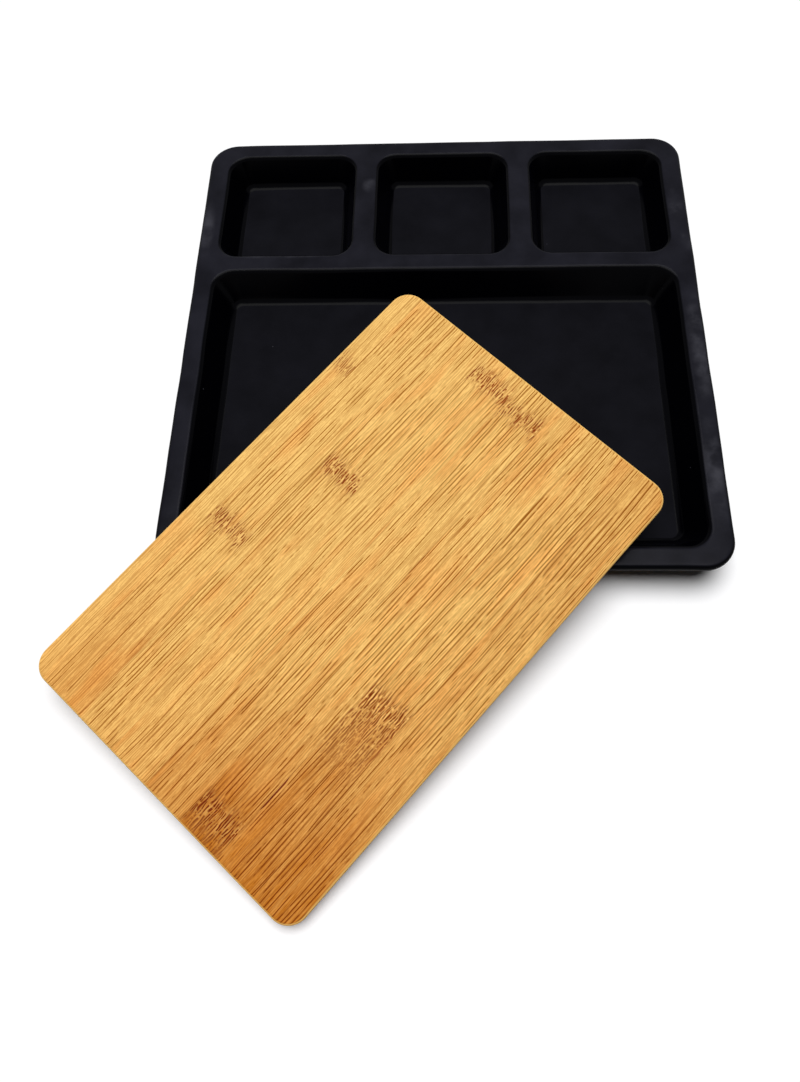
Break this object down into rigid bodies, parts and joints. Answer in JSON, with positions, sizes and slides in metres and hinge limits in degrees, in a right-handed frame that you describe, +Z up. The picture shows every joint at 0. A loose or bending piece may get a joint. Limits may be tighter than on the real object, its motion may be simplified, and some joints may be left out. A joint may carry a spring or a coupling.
{
  "type": "appetizer tray",
  "caption": "Square black tray with a row of small pockets behind one large pocket, and a bamboo board, glued from strips, that leans on its front rim and lifts off.",
  "frame": {"origin": "centre of the tray's underside, on the table", "axes": "+X to the right, +Y to the back, where the small pockets are, +Z up"},
  "size_m": [0.2894, 0.3857, 0.0466],
  "materials": {
    "black_melamine": "matt moulded",
    "bamboo": "sanded and oiled"
  },
  "bodies": {
    "tray": {"tray": "black_melamine"},
    "board": {"bamboo_strip_1": "bamboo", "bamboo_strip_2": "bamboo", "bamboo_strip_3": "bamboo", "bamboo_strip_4": "bamboo", "bamboo_strip_5": "bamboo", "bamboo_strip_6": "bamboo", "bamboo_strip_7": "bamboo", "bamboo_strip_8": "bamboo"}
  },
  "joints": [
    {"name": "board_lift", "type": "slide", "parent": "tray", "child": "board", "axis": [0, 0, 1], "range_m": [0, 0.15]}
  ]
}
